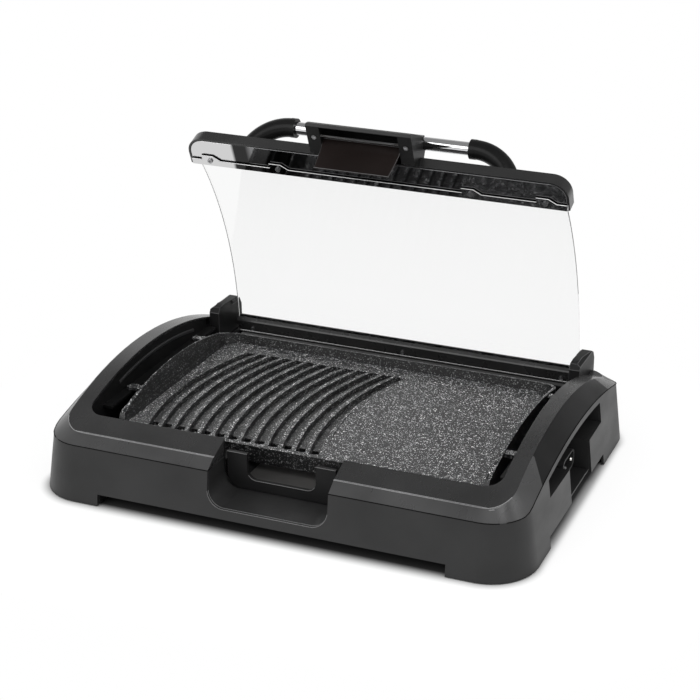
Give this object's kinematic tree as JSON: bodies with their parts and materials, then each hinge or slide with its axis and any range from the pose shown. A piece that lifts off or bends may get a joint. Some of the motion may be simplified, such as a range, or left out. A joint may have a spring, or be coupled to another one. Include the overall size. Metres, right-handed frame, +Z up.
{
  "type": "electric indoor grill",
  "caption": "Countertop electric grill: ribbed non-stick plate in a low moulded base, pull-out drip tray, and a curved glass lid on a rear hinge with a tubular handle and central grip.",
  "frame": {"origin": "middle of the base footprint, on the table", "axes": "+Z up, front (drip tray and lid handle) towards -Y, +X to the right seen from the front, inlet on +X"},
  "size_m": [0.6, 0.428, 0.3997],
  "materials": {
    "housing_plastic": "satin moulded",
    "deck_plastic": "satin moulded",
    "foot_rubber": "matt",
    "screw_steel": "zinc plated",
    "reflector_metal": "rolled sheet",
    "element_sheath": "oxidised",
    "pin_metal": "nickel plated",
    "plate_coating": "die cast, speckled dark non-stick coating",
    "clear_glass": "tempered, clear",
    "gloss_plastic": "gloss moulded",
    "seal_rubber": "matt",
    "tube_chrome": "polished tube"
  },
  "bodies": {
    "base": {"lower_shell": "housing_plastic", "tray_recess": "housing_plastic", "bottom_cover": "housing_plastic", "corner_feet": "housing_plastic", "grip_pocket": "housing_plastic", "inlet_pocket": "housing_plastic", "rubber_feet": "foot_rubber", "base_screws": "screw_steel", "deck_frame": "deck_plastic", "deck_liner": "housing_plastic", "hinge_post_left": "deck_plastic", "hinge_post_right": "deck_plastic", "heat_reflector": "reflector_metal", "drip_channel": "reflector_metal", "heating_element": "element_sheath", "element_clips": "reflector_metal", "inlet_shroud": "housing_plastic", "terminal_pins": "pin_metal", "probe_guide": "pin_metal", "grill_plate": "plate_coating"},
    "tray": {"drip_tray": "housing_plastic"},
    "lid": {"lid_glass": "clear_glass", "front_trim": "gloss_plastic", "inner_panel": "gloss_plastic", "clamp_strip": "housing_plastic", "glass_gasket": "seal_rubber", "rear_rail": "housing_plastic", "hinge_pins": "pin_metal", "rail_screw_set": "screw_steel", "lid_screw_set": "screw_steel", "horn_left": "gloss_plastic", "horn_right": "gloss_plastic", "handle_tube": "tube_chrome", "grip_box": "gloss_plastic", "drip_tongue": "gloss_plastic", "box_screws": "screw_steel"}
  },
  "joints": [
    {"name": "lid_hinge", "type": "hinge", "parent": "base", "child": "lid", "pos_m": [0, 0.202, 0.068], "axis": [1, 0, 0], "range_deg": [-20, 63.3]},
    {"name": "tray_slide", "type": "slide", "parent": "base", "child": "tray", "axis": [0, -1, 0], "range_m": [0, 0.085]}
  ]
}
